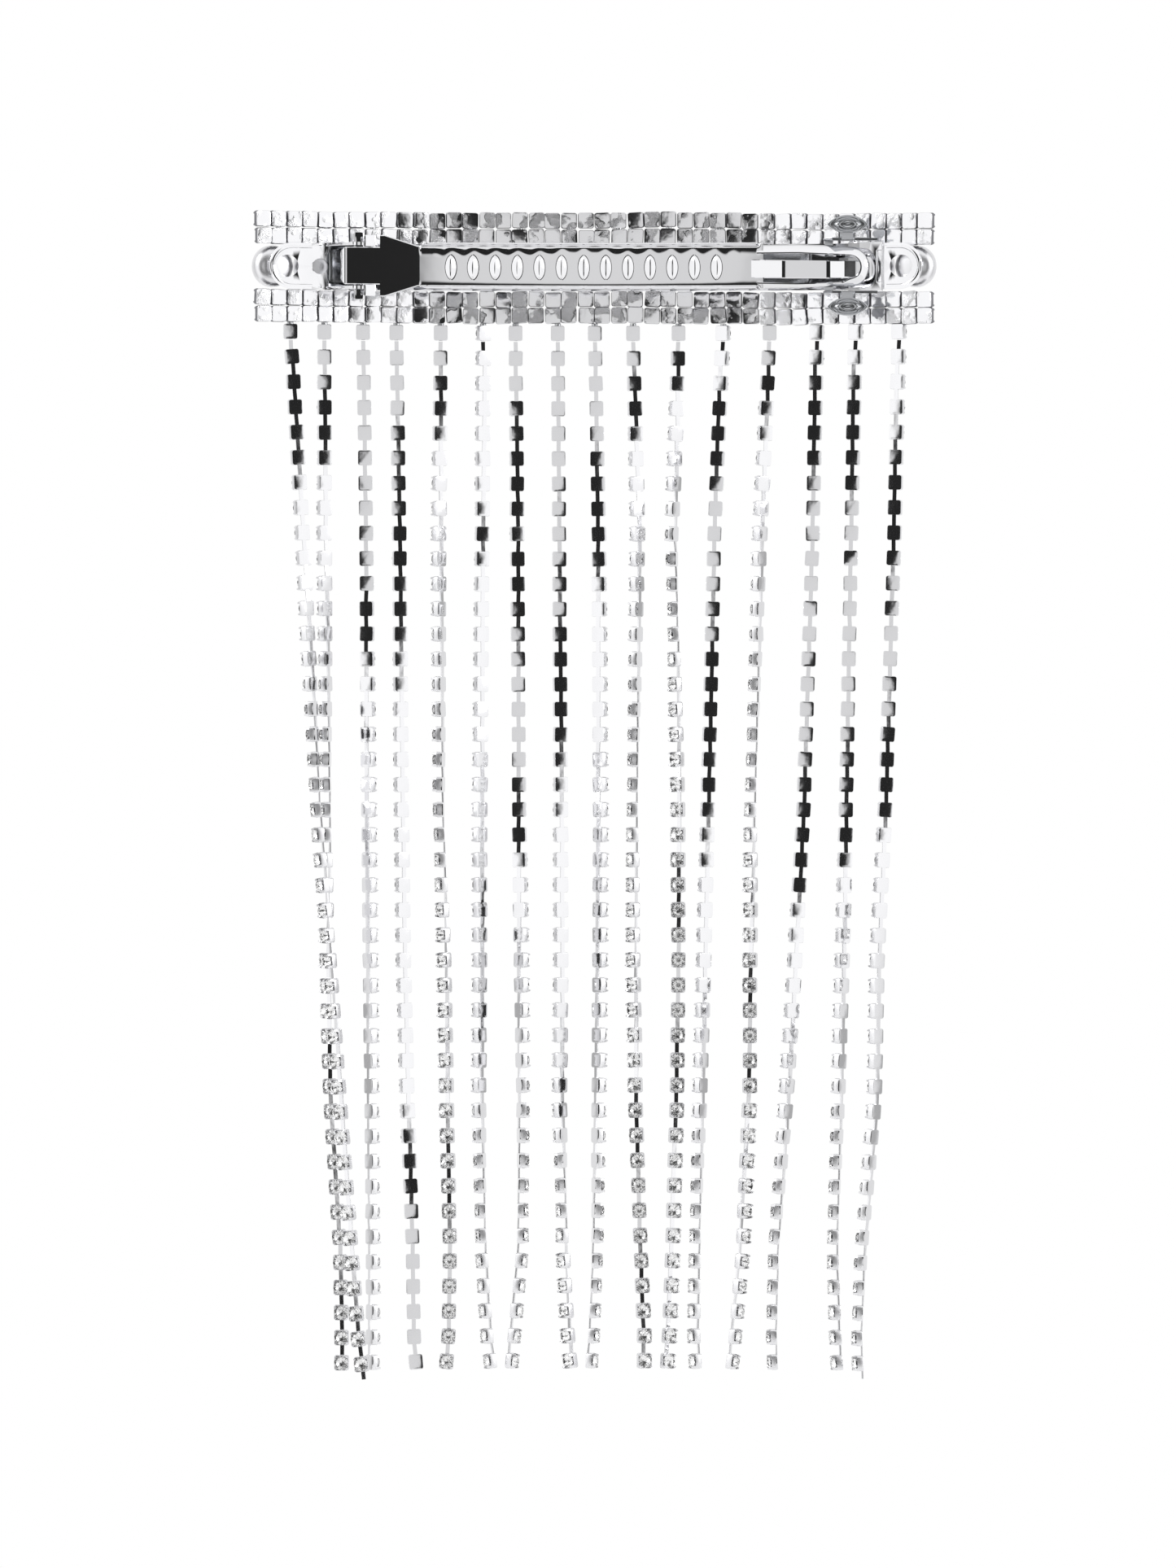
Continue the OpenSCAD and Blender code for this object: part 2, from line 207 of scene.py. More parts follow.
sheet = {"drop": 0.222, "half": 0.3}   # m
floorMesh = bpy.data.meshes.new("floor")
floorMesh.from_pydata([(x * sheet["half"], y * sheet["half"], -sheet["drop"])
                       for x, y in ((-1, -1), (1, -1), (1, 1), (-1, 1))], [], [(0, 1, 2, 3)])
floor = bpy.data.objects.new("floor", floorMesh)
bpy.context.scene.collection.objects.link(floor)
paper, paperTree = emptyMaterial("matt white paper")
paperSkin = addNode(paperTree, "ShaderNodeBsdfPrincipled",
                    {"Base Color": linearColour("#F4F4F4"), "Roughness": 0.9})
addNode(paperTree, "ShaderNodeOutputMaterial", None, {"Surface": paperSkin.outputs[0]})
floorMesh.materials.append(paper)
print("camera and studio ready")

def platedMetal(name, tint, roughness, waveSize, waveHeight, grainSize=0.0, grainHeight=0.0, smear=0.0):
    # bright plating: a clear mirror with slow waves from pressing, and fine grain where solder ran;
    # sizes and heights in mm, smear is how much rougher the grainy patches are
    material, tree = emptyMaterial(name)
    where = addNode(tree, "ShaderNodeTexCoord")
    point = where.outputs["Object"]
    waves = addNode(tree, "ShaderNodeTexNoise",
                    {"Scale": 1 / (waveSize * mm), "Detail": 1.5, "Roughness": 0.5}, {"Vector": point})
    bump = addNode(tree, "ShaderNodeBump", {"Strength": 1.0, "Distance": waveHeight * mm},
                   {"Height": waves.outputs["Fac"]})
    skin = addNode(tree, "ShaderNodeBsdfPrincipled",
                   {"Base Color": linearColour(tint), "Metallic": 1.0, "Roughness": roughness})
    normal = bump
    if grainHeight:
        grain = addNode(tree, "ShaderNodeTexNoise",
                        {"Scale": 1 / (grainSize * mm), "Detail": 4.0, "Roughness": 0.65}, {"Vector": point})
        # about every other cup carries a patch of it, so the patches are about a cup across
        patches = addNode(tree, "ShaderNodeTexNoise", {"Scale": 1 / (2.6 * mm), "Detail": 2.0},
                          {"Vector": point})
        mask = addNode(tree, "ShaderNodeMapRange", {"From Min": 0.5, "From Max": 0.62},
                       {"Value": patches.outputs["Fac"]})
        height = addNode(tree, "ShaderNodeMath", {"operation": "MULTIPLY"},
                         {0: grain.outputs["Fac"], 1: mask.outputs[0]})
        normal = addNode(tree, "ShaderNodeBump", {"Strength": 1.0, "Distance": grainHeight * mm},
                         {"Height": height.outputs[0], "Normal": bump.outputs[0]})
        rough = addNode(tree, "ShaderNodeMapRange", {"To Min": roughness, "To Max": roughness + smear},
                        {"Value": mask.outputs[0]})
        tree.links.new(rough.outputs[0], skin.inputs["Roughness"])
    tree.links.new(normal.outputs[0], skin.inputs["Normal"])
    addNode(tree, "ShaderNodeOutputMaterial", None, {"Surface": skin.outputs[0]})
    return material

def clearCrystal(name):
    # clear lead-free crystal, polished flat facets
    material, tree = emptyMaterial(name)
    skin = addNode(tree, "ShaderNodeBsdfPrincipled",
                   {"Base Color": linearColour("#FFFFFF"), "Roughness": 0.0,
                    "IOR": 1.58, "Transmission Weight": 1.0})
    addNode(tree, "ShaderNodeOutputMaterial", None, {"Surface": skin.outputs[0]})
    return material

def foilBacking(name):
    # silvered foil on the lower facets, seen through the stone
    material, tree = emptyMaterial(name)
    where = addNode(tree, "ShaderNodeTexCoord")
    speck = addNode(tree, "ShaderNodeTexNoise", {"Scale": 1 / (0.3 * mm), "Detail": 2.0},
                    {"Vector": where.outputs["Object"]})
    rough = addNode(tree, "ShaderNodeMapRange", {"To Min": 0.02, "To Max": 0.16},
                    {"Value": speck.outputs["Fac"]})
    skin = addNode(tree, "ShaderNodeBsdfPrincipled",
                   {"Base Color": linearColour("#FFFFFF"), "Metallic": 1.0}, {"Roughness": rough.outputs[0]})
    addNode(tree, "ShaderNodeOutputMaterial", None, {"Surface": skin.outputs[0]})
    return material

chainPlating = platedMetal("silver plating on stamped cups", "#EEEEF0", 0.09, 1.5, 0.02)
satinPlating = platedMetal("satin silver plating on cup walls", "#F2F2F4", 0.34, 1.5, 0.03)
headerPlating = platedMetal("silver plating with solder grain", "#EFEFF1", 0.11, 1.3, 0.03, 0.2, 0.08, 0.1)
# darker tint on the header cups' walls, lips, prongs and inner floors: painted shade that draws grey outlines
# round each cup
wallShadePlating = platedMetal("silver plating darkened by painted shade on cup walls", "#8E8E92", 0.4, 1.0, 0.05, 0.2, 0.05, 0.1)
pressedSteel = platedMetal("nickel plated pressed steel", "#EDEDEF", 0.07, 6.0, 0.03)
springSteel = platedMetal("plated spring steel", "#C4C6C9", 0.22, 2.0, 0.03)
solderMetal = platedMetal("tin solder", "#DADBDD", 0.2, 0.8, 0.08, 0.25, 0.1, 0.25)
crystal = clearCrystal("clear cut crystal")
foil = foilBacking("silver foil")
print("materials ready")

cup = {
    "width": 2.15, "height": 2.35,   # mm, outside
    "wall": 0.95,                    # depth of the wall between two prongs
    "prong": 1.62,                   # height of the four prongs
    "prongWidth": 0.5,               # how far a prong reaches from its corner along both walls
    "corner": 0.28,                  # rounding of the corners
    "edge": 0.18,                    # rounding round the back
    "floor": 0.42,                   # depth of the floor inside
}

def squareRing(inset, depth):
    # twelve points round a rounded square, three at each corner
    hw, hh, c = cup["width"] / 2 - inset, cup["height"] / 2 - inset, cup["corner"]
    quarter = np.array([(hw, hh - c), (hw - 0.3 * c, hh - 0.3 * c), (hw - c, hh)])
    mirror = quarter[::-1]
    xz = np.concatenate([quarter, mirror * (-1, 1), quarter * (-1, -1), mirror * (1, -1)])
    return np.stack([xz[:, 0], np.full(12, depth), xz[:, 1]], 1)

def squareCup():
    # rings from the back up the wall and down to the floor inside, then the four bent prongs
    wall, edge = cup["wall"], cup["edge"]
    rings = [squareRing(0.25, 0.0), squareRing(0.06, 0.022), squareRing(0.0, edge), squareRing(0.0, wall),
             squareRing(0.13, wall - 0.02), squareRing(0.13, cup["floor"])]
    # the back is a mirror, the walls and the floor inside are satin
    slots = [0] * 24 + [1] * 36 + [0, 1]
    parts = [(np.concatenate(rings), tubeFaces(len(rings), 12))]
    hw, hh, reach, top = cup["width"] / 2, cup["height"] / 2, cup["prongWidth"], cup["prong"]
    for sx in (-1, 1):
        for sz in (-1, 1):
            # outline of a prong at the wall and at its tip, leaning over the stone
            foot = np.array([(hw, hh - reach), (hw - 0.08, hh - 0.08),
                             (hw - reach, hh), (hw - 0.3, hh - 0.3)])
            tip = np.array([(hw - 0.14, hh - reach * 0.75), (hw - 0.2, hh - 0.2),
                            (hw - reach * 0.75, hh - 0.14), (hw - 0.48, hh - 0.48)])
            place = lambda xz, y: np.stack([sx * xz[:, 0], np.full(4, y), sz * xz[:, 1]], 1)
            prong = [[0, 1, 5, 4], [1, 2, 6, 5], [2, 3, 7, 6], [3, 0, 4, 7], [4, 5, 6, 7]]
            if sx * sz > 0:
                prong = [f[::-1] for f in prong]
            parts.append((np.concatenate([place(foot, wall - 0.1), place(tip, top)]), prong))
            slots += [1] * 5
    return *joined(parts), slots

def circle(angles, radius, y):
    return np.stack([radius * np.cos(angles), np.full(len(angles), y), radius * np.sin(angles)], 1)

def brilliant(d, low, sides=8):
    # round stone: table, stars, kites, upper halves and a cone of lower facets, its point at depth low
    r = d / 2
    girdle, mid, table = low + 0.39 * d, low + 0.525 * d, low + 0.61 * d
    a = np.arange(sides) * 2 * np.pi / sides
    b = a + np.pi / sides
    g = np.arange(2 * sides) * np.pi / sides
    verts = np.concatenate([circle(a, 0.56 * r, table), circle(b, 0.8 * r, mid), circle(g, r, girdle),
                            [[0, low, 0]]])
    t, m, e, tip = 0, sides, 2 * sides, 4 * sides
    faces, slots = [list(range(sides))], [0]
    for i in range(sides):
        n, p = (i + 1) % sides, (i - 1) % sides
        faces += [[t + n, t + i, m + i], [t + i, m + p, e + 2 * i, m + i],
                  [m + i, e + 2 * i, e + 2 * i + 1], [m + i, e + 2 * i + 1, e + (2 * i + 2) % (2 * sides)]]
        slots += [0, 0, 0, 0]
    for j in range(2 * sides):
        faces.append([tip, e + (j + 1) % (2 * sides), e + j])
        slots.append(1)
    return verts, faces, slots

def fixNormals(piece):
    work = bmesh.new()
    work.from_mesh(piece.data)
    bmesh.ops.recalc_face_normals(work, faces=work.faces)
    work.to_mesh(piece.data)
    work.free()

def outward(verts, faces):
    # turns every face of a star-shaped solid away from its middle
    centre = verts.mean(0)
    kept = []
    for f in faces:
        p = verts[f]
        normal = np.cross(p[1] - p[0], p[2] - p[0])
        kept.append(f if np.dot(normal, p.mean(0) - centre) > 0 else f[::-1])
    return kept

stoneVerts, stoneFaces, stoneSlots = brilliant(2.16, 0.36)
stoneShape = (stoneVerts, outward(stoneVerts, stoneFaces))
cupVerts, cupFaces, cupSlots = squareCup()
cupShape = (cupVerts, cupFaces)

fringe = {
    "pitch": 3.86, "cups": 41, "top": -10.0,
    "linkWidth": 0.62, "linkThickness": 0.24,
    "headerRadius": 120.0, "headerY": 5.0, "cupDepth": 1.6,
    "wobble": 1.3, "cupRoll": 0.9,   # degrees that a cup may sit askew
    "stoneTilt": 1.5,    # degrees that a stone may sit tilted in its cup
    "hingeGap": 0.13,    # mm between the top cup and the hinge under it
    "linkIn": 0.12, "linkUp": 0.02,   # mm that a strip reaches under a cup and lies in from its back
    "tailEnd": 1.2,      # mm of strip left below the last cup
    "tails": (0, 15),    # strands with a cut end of strip below the last cup
    "depths": [0, 31, 74, 96, 118, 141, 154, 162],
    "sway": [   # mm to the side, at those depths
        [-46.6, -44.8, -42.6, -40.7, -39.1, -37.3, -36.2, -35.2],
        [-41.4, -41.5, -41.2, -41.2, -40.5, -39.0, -38.8, -38.8],
        [-35.5, -35.0, -34.5, -34.3, -34.1, -33.9, -33.9, -34.0],
        [-30.4, -30.0, -29.7, -29.4, -28.8, -27.9, -27.7, -27.2],
        [-23.6, -24.0, -23.9, -23.2, -22.8, -22.2, -22.4, -23.0],
        [-17.1, -17.3, -17.7, -17.7, -17.8, -17.4, -16.6, -15.6],
        [-12.1, -11.9, -11.5, -11.1, -10.9, -11.0, -12.2, -12.9],
        [-5.6, -5.4, -5.2, -5.2, -5.4, -4.9, -4.2, -3.5],
        [0.1, 0.8, 1.1, 1.0, 0.8, 0.5, 0.0, -0.6],
        [6.0, 6.6, 5.9, 5.9, 6.3, 7.2, 7.8, 7.8],
        [13.0, 11.9, 12.8, 13.0, 12.8, 12.2, 11.7, 11.2],
        [19.9, 18.5, 17.4, 16.8, 16.2, 15.5, 15.3, 15.7],
        [27.0, 25.4, 24.0, 23.9, 24.0, 23.0, 21.8, 21.0],
        [34.3, 33.6, 32.1, 30.8, 29.4, 27.6, 27.3, 27.5],
        [40.2, 39.5, 38.6, 38.0, 37.4, 36.6, 37.0, 37.4],
        [46.8, 46.1, 44.5, 43.3, 42.9, 40.9, 40.3, 40.5]],
    "turn": [   # degrees that the backs have turned, at those depths
        [8, 24, 96, 130, 146, 158, 165, 165],
        [0, 32, 93, 145, 175, 175, 168, 165],
        [0, -3, -37, -43, -55, -58, -58, -58],
        [0, 13, 30, 31, 25, 0, 0, 10],
        [0, 44, 84, 128, 157, 175, 178, 178],
        [32, 19, 45, 47, 57, 100, 108, 110],
        [0, 17, -8, -43, -67, -100, -108, -110],
        [0, 5, 22, 32, 46, 113, 133, 136],
        [3, -14, -42, -47, -54, -83, -100, -100],
        [0, 41, 96, 123, 163, 187, 198, 200],
        [0, 68, 153, 178, 195, 207, 213, 215],
        [-25, 3, 17, 31, 53, 100, 105, 105],
        [0, 45, 100, 158, 200, 240, 250, 250],
        [-20, -1, 10, 24, 48, 90, 90, 90],
        [-22, -4, 9, 38, 62, 98, 100, 100],
        [-25, -12, 16, 43, 49, 70, 95, 95]],
    "lean": [3] + [0] * 15,   # mm towards the hair at the last of those depths
}

def headerY(x):
    r = fringe["headerRadius"]
    return fringe["headerY"] - r + np.sqrt(r * r - np.asarray(x, dtype=float) ** 2)

def strandY(s):
    return headerY(fringe["sway"][s][0]) + fringe["cupDepth"] / 2 + 0.2

def strandPoints(s, d):
    x = np.interp(d, fringe["depths"], fringe["sway"][s])
    return np.stack([x, strandY(s) - fringe["lean"][s] * d / fringe["depths"][-1], fringe["top"] - d], 1)

def strandTurns(s, d):
    # side tilt from the slope of the sway, then the turn about the strand
    depths, sway = fringe["depths"], fringe["sway"][s]
    slope = (np.interp(d + 1.5, depths, sway) - np.interp(d - 1.5, depths, sway)) / 3
    return turnY(-np.degrees(np.arctan(slope))) @ turnZ(np.interp(d, depths, fringe["turn"][s]))

def askew(count, amount, roll):
    # small random turns about each axis, in degrees
    nod, swing = turnX(rng.normal(0, amount, count)), turnZ(rng.normal(0, amount, count))
    return nod @ swing @ turnY(rng.normal(0, roll, count))

def spun(count):
    # each stone sits turned its own way in its cup, and a little tilted
    y = rng.uniform(0, 2 * np.pi, count)
    return turnY(np.degrees(y)) @ turnX(rng.normal(0, fringe["stoneTilt"], count))

def linkStrips(points, turns, top, tail):
    # one flat strip from the lower edge of each cup's back to the upper edge of the next
    w, t = fringe["linkWidth"] / 2, fringe["linkThickness"]
    back, edge = fringe["linkUp"] - fringe["cupDepth"] / 2, cup["height"] / 2 - fringe["linkIn"]
    section = np.array([(-w, back, 0), (w, back, 0), (w, back + t, 0), (-w, back + t, 0)])
    place = lambda k, shift: np.einsum("kij,vj->kvi", turns[k], section + shift) + points[k, None, :]
    # the hinge's own strip stays at mid depth, clear of the hanger cup when the strand swings up
    first = place(slice(0, 1), (0, -back - t / 2, edge))
    upper = np.concatenate([top[None], place(slice(None, -1), (0, 0, -edge))])
    lower = np.concatenate([first, place(slice(1, None), (0, 0, edge))])
    if tail:
        last = slice(-1, None)
        upper = np.concatenate([upper, place(last, (0, 0, -edge))])
        lower = np.concatenate([lower, place(last, (0, 0, -cup["height"] / 2 - fringe["tailEnd"]))])
    verts = np.concatenate([upper, lower], 1).reshape(-1, 3)
    box = [[0, 1, 2, 3], [7, 6, 5, 4], [0, 4, 5, 1], [1, 5, 6, 2], [2, 6, 7, 3], [3, 7, 4, 0]]
    return verts, [[i + 8 * k for i in f] for k in range(len(upper)) for f in box]

def addCups(name, shape, body, node, coats, slots):
    fixNormals(addMesh(name + "Cups", *shape, body, [node], coats, slots, 50, "silver_plating"))

def addStones(name, template, spots, templateSlots, body, node):
    slots = np.tile(templateSlots, len(spots[0]))
    addMesh(name + "Stones", *repeated(template, spots), body, [node], [crystal, foil], slots,
            slotName="crystal")

def buildStrand(s):
    d = fringe["pitch"] * np.arange(1, fringe["cups"] + 1)
    points, turns = strandPoints(s, d), strandTurns(s, d)
    loose = turns @ askew(len(d), fringe["wobble"], fringe["cupRoll"])
    origins = points + loose @ np.array([0, -fringe["cupDepth"] / 2, 0])
    name, body = "strand%02d" % (s + 1), "strand_%02d" % (s + 1)
    # the first strip starts at the hinge, under the middle of the top cup
    w, t = fringe["linkWidth"] / 2, fringe["linkThickness"] / 2
    pivot = strandPoints(s, np.array([cup["height"] / 2 + fringe["hingeGap"]]))[0]
    top = np.array([(-w, -t, 0), (w, -t, 0), (w, t, 0), (-w, t, 0)]) + pivot
    links = linkStrips(points, loose, top, s in fringe["tails"])
    # of a strip's six faces, the two narrow sides are satin
    slots = cupSlots * len(d) + [0, 0, 0, 1, 0, 1] * (len(links[1]) // 6)
    chain = joined([repeated(cupShape, (origins, loose)), links])
    addCups(name, chain, body, body + "_chain", [chainPlating, satinPlating], slots)
    addStones(name, stoneShape, (origins, loose @ spun(len(d))), stoneSlots, body, body + "_stones")

strands = len(fringe["sway"])
for s in range(strands):
    buildStrand(s)
print("fringe built")

header = {
    "cups": 42, "span": 49.8,   # small cups in a row, and the degrees of the bend that they fill
    "bigCups": 16, "bigSpan": 47.8, "bigWidth": 6.4,
    "wobble": 1.9, "roll": 1.7, "shift": 0.05,   # how far a cup may sit off, degrees and mm
    "cupWidth": 2.42, "cupHeight": 2.44,
    "waveX": [-52, -25, 0, 10, 20, 30, 40, 52],   # the rows wave a little, as soldered by hand
    "rowZ": {
        "top_outer_row": [7.2, 7.35, 7.4, 7.5, 7.3, 7.05, 6.97, 6.95],
        "top_inner_row": [4.65, 4.75, 4.8, 4.95, 4.75, 4.55, 4.47, 4.45],
        "bottom_inner_row": [-4.75, -4.82, -4.7, -4.7, -4.85, -5.05, -5.08, -5.1],
        "bottom_outer_row": [-7.25, -7.3, -7.2, -7.2, -7.35, -7.53, -7.56, -7.58]},
    # degrees that the cups turn outwards besides the bend, by mm from the middle
    "outwards": ([0, 8, 14, 25, 27, 40, 52], [0, -1.5, -3.5, -3, 9, 6, 1]),
}

def onHeader(angles):
    # origins and turns on the header's bend, cups' backs towards its inside
    r = fringe["headerRadius"]
    a = np.radians(angles)
    origins = np.stack([r * np.sin(a), fringe["headerY"] - r + r * np.cos(a), np.zeros(len(a))], 1)
    return origins, turnZ(-angles)

def buildRow(row):
    angles = np.linspace(-header["span"] / 2, header["span"] / 2, header["cups"])
    origins, turns = onHeader(angles)
    x = origins[:, 0]
    origins[:, 2] = np.interp(x, header["waveX"], header["rowZ"][row])
    count = len(angles)
    outwards = turnZ(-np.sign(x) * np.interp(np.abs(x), *header["outwards"]))
    turns = outwards @ turns @ askew(count, header["wobble"], header["roll"])
    origins = origins + rng.normal(0, header["shift"], (count, 3)) * (1, 0.4, 1)
    wide = cupVerts * (header["cupWidth"] / cup["width"], 1, header["cupHeight"] / cup["height"])
    name = "".join(w.capitalize() if i else w for i, w in enumerate(row.split("_")))
    # the second coat, on walls, lips, prongs and floors, is the darker plating: painted shade for the cups'
    # grey outlines
    addCups(name, repeated((wide, cupFaces), (origins, turns)), "base", row + "_cups",
            [headerPlating, wallShadePlating], cupSlots * count)
    addStones(name, stoneShape, (origins, turns @ spun(count)), stoneSlots, "base", row + "_stones")

for row in header["rowZ"]:
    buildRow(row)

def roundCup(steps=40):
    # bowl-shaped back, straight lip and a floor inside, turned round its axis
    r = header["bigWidth"] / 2
    profile = np.array([(0.0, 0.0), (0.35 * r, 0.0), (0.62 * r, 0.12), (0.82 * r, 0.42), (0.95 * r, 0.9),
                        (r, 1.5), (r, 2.3), (r - 0.1, 2.4), (r - 0.3, 2.36), (r - 0.32, 1.9),
                        (0.4 * r, 0.5), (0.0, 0.45)])
    a = np.arange(steps) * 2 * np.pi / steps
    rings = [circle(a, radius, y) for radius, y in profile[1:-1]]
    verts = np.concatenate([[[0, profile[0][1], 0]]] + rings + [[[0, profile[-1][1], 0]]])
    faces = [[i + 1 for i in f] for f in gridFaces(len(rings), steps, True)]
    faces += [[0, (i + 1) % steps + 1, i + 1] for i in range(steps)]
    last, tip = 1 + (len(rings) - 1) * steps, len(verts) - 1
    faces += [[tip, last + i, last + (i + 1) % steps] for i in range(steps)]
    return verts, faces

bigSpots = onHeader(np.linspace(-header["bigSpan"] / 2, header["bigSpan"] / 2, header["bigCups"]))
fixNormals(addMesh("centreRowCups", *repeated(roundCup(), bigSpots), "base", ["centre_row_cups"],
                   [satinPlating], smoothAngle=40, slotName="silver_plating"))
bigVerts, bigFaces, bigSlots = brilliant(5.6, 0.47)
addStones("centreRow", (bigVerts, outward(bigVerts, bigFaces)), bigSpots, bigSlots, "base",
          "centre_row_stones")

hangerPoints = np.concatenate([strandPoints(s, np.array([0.0])) for s in range(strands)])
hangerTurns = turnZ([fringe["turn"][s][0] for s in range(strands)])
hangerSpots = (hangerPoints + hangerTurns @ np.array([0, -fringe["cupDepth"] / 2, 0]), hangerTurns)
addCups("hanger", repeated(cupShape, hangerSpots), "base", "hanger_cups",
        [chainPlating, satinPlating], cupSlots * strands)
addStones("hanger", stoneShape, hangerSpots, stoneSlots, "base", "hanger_stones")
print("header built")

def rounded(node, name, body, edge, material):
    # a copy of the pressed part with its doubles merged and its edges rounded
    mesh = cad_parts[node].data.copy()
    mesh.name = name
    mesh.materials.clear()
    mesh.materials.append(material)
    piece = bpy.data.objects.new(name, mesh)
    bpy.context.scene.collection.objects.link(piece)
    work = bmesh.new()
    work.from_mesh(mesh)
    bmesh.ops.remove_doubles(work, verts=work.verts, dist=0.002 * mm)
    work.to_mesh(mesh)
    work.free()
    mesh.polygons.foreach_set("use_smooth", np.ones(len(mesh.polygons), dtype=bool))
    mesh.set_sharp_from_angle(angle=math.radians(35))
    bevel = piece.modifiers.new("edges", "BEVEL")
    bevel.width = edge * mm
    bevel.segments = 2
    bevel.limit_method = "ANGLE"
    bevel.angle_limit = math.radians(40)
    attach(piece, body)
    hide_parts(node)

rounded("base_plate", "basePlate", "base", 0.1, pressedSteel)
rounded("catch_plate", "catchPlate", "base", 0.1, pressedSteel)
rounded("tension_bar", "tensionBar", "tension_bar", 0.1, springSteel)
rounded("solder_joints", "solderJoints", "base", 0.05, solderMetal)

arm = {
    "radius": 220.0, "y": -2.83, "thickness": 0.6,   # mm, the bend of its middle surface
    "outlineX": [-38.9, -38.6, -38.2, -32.82, -32.78, -32.1, -27.0, -26.6, -25.5, 25.9],
    "outlineHalf": [1.9, 2.6, 2.9, 2.9, 4.72, 4.72, 3.08, 3.2, 3.6, 3.6],
    "upperBend": 0.13,
    "ribs": 13, "ribX": -22.0, "ribPitch": 3.4, "ribHeight": 0.46, "ribHalf": 0.9, "ribReach": 1.75,
    "waves": 0.28,    # how far the ribs draw the upper bend up and down
    "edge": 0.16,     # rounding of the sheet's edge
}

def armY(x):
    r = arm["radius"]
    return arm["y"] - r + np.sqrt(r * r - np.asarray(x, dtype=float) ** 2)

def easy(t):
    t = np.clip(t, 0, 1)
    return t * t * (3 - 2 * t)

def armFront(x, z):
    # middle surface minus the bends' rise, minus sharp-footed ribs with pointed ends, plus the heel's curl
    inTrough = easy((x + 26.8) / 0.35) * easy((25.6 - x) / 0.8)
    bend = arm["upperBend"] * (0.6 + 0.4 * easy((-4 - x) / 5) + 0.4 * np.exp(-((x - 5) / 3) ** 2))
    waves = arm["waves"] * np.clip((x + 25) / 2, 0, 1) * np.clip((22.5 - x) / 2, 0, 1)
    start = 1.55 + waves * np.cos(2 * np.pi * (x - arm["ribX"]) / arm["ribPitch"])
    rise = np.where(z > 0, bend * np.clip(z - start, 0, 2.9 - start) ** 2 + 0.8 * easy((z - 2.85) / 0.65),
                    0.1 * np.clip(-z - 2.2, 0, 1) ** 2 + 0.85 * easy((-z - 2.95) / 0.6))
    k = np.clip(np.round((x - arm["ribX"]) / arm["ribPitch"]), 0, arm["ribs"] - 1)
    reach = np.clip(1 - ((z + 0.2) / arm["ribReach"]) ** 2, 0, 1)
    across = np.abs(x - arm["ribX"] - k * arm["ribPitch"]) / (arm["ribHalf"] * np.sqrt(reach) + 1e-6)
    rib = arm["ribHeight"] * np.sqrt(reach) * np.clip(1 - across ** 1.3, 0, 1) ** 1.25
    shoulder = 0.045 * np.clip(x + 26.8, -12, 0)
    return armY(x) + shoulder - inTrough * (rise + rib) + 0.9 * np.clip((-37.9 - x) / 1.0, 0, 1) ** 2

def armSheet():
    # one closed loop of points round the sheet at every place along it: front, edge, back, edge
    x = np.unique(np.concatenate([np.linspace(-38.9, -32.82, 24), [-32.82, -32.78, -32.1],
                                  np.linspace(-32, -27.1, 8), np.linspace(-27.05, 25.9, 560)]))
    half = np.interp(x, arm["outlineX"], arm["outlineHalf"])
    v = np.sin(np.linspace(-1, 1, 49) * np.pi / 2 * 0.96) / np.sin(np.pi / 2 * 0.96)
    w = np.linspace(1, -1, 17)
    t, r = arm["thickness"], arm["edge"]
    frontZ, backZ = v[None, :] * (half[:, None] - r), w[None, :] * (half[:, None] - r)
    gx = np.repeat(x[:, None], v.size, 1)
    bx = np.repeat(x[:, None], w.size, 1)
    front = np.stack([gx, armFront(gx, frontZ) - t / 2, frontZ], -1)
    back = np.stack([bx, armFront(bx, backZ) + t / 2, backZ], -1)
    edge = lambda side, depth, out: np.stack(
        [x, armFront(x, side * half) + depth * t / 2, side * (half - r + out * r)], -1)[:, None]
    loops = np.concatenate([front, edge(1, -0.72, 0.75), edge(1, -0.2, 1), edge(1, 0.6, 0.9), back,
                            edge(-1, 0.6, 0.9), edge(-1, -0.2, 1), edge(-1, -0.72, 0.75)], 1)
    return loops.reshape(-1, 3), [f[::-1] for f in tubeFaces(len(x), loops.shape[1])]

def ribbon(path, halfWidth, halfThick, lean, sides=14):
    # an oval bar swept along a path: its width lies square to the path in X-Z, its thickness along Y,
    # and lean tips its outer side back
    path = np.asarray(path, dtype=float)
    step = np.gradient(path, axis=0)
    across = np.stack([-step[:, 2], np.zeros(len(path)), step[:, 0]], 1)
    across /= np.linalg.norm(across, axis=1)[:, None]
    c, d = roundedBox(sides, 0.75)
    width = np.broadcast_to(halfWidth, len(path))
    ring = path[:, None, :] + across[:, None, :] * (width[:, None] * c)[..., None]
    ring[..., 1] += halfThick * d + lean * width[:, None] * c
    return ring.reshape(-1, 3), tubeFaces(len(path), sides)

rail = {
    "start": 24.9, "endX": 39.2, "endZ": -0.2, "radius": 2.2,   # mm, the loop's start and round end
    "sideX": [22.5, 30, 38.2], "topZ": [2.55, 2.62, 2.3], "bottomZ": [-2.95, -3.0, -2.8],
    "topHalf": ([22.5, 27, 38.2], [0.7, 0.72, 0.74]), "endHalf": 0.7, "bottomHalf": [0.5, 0.35, 0.3],
    "thick": 0.2, "lean": 0.55,
}

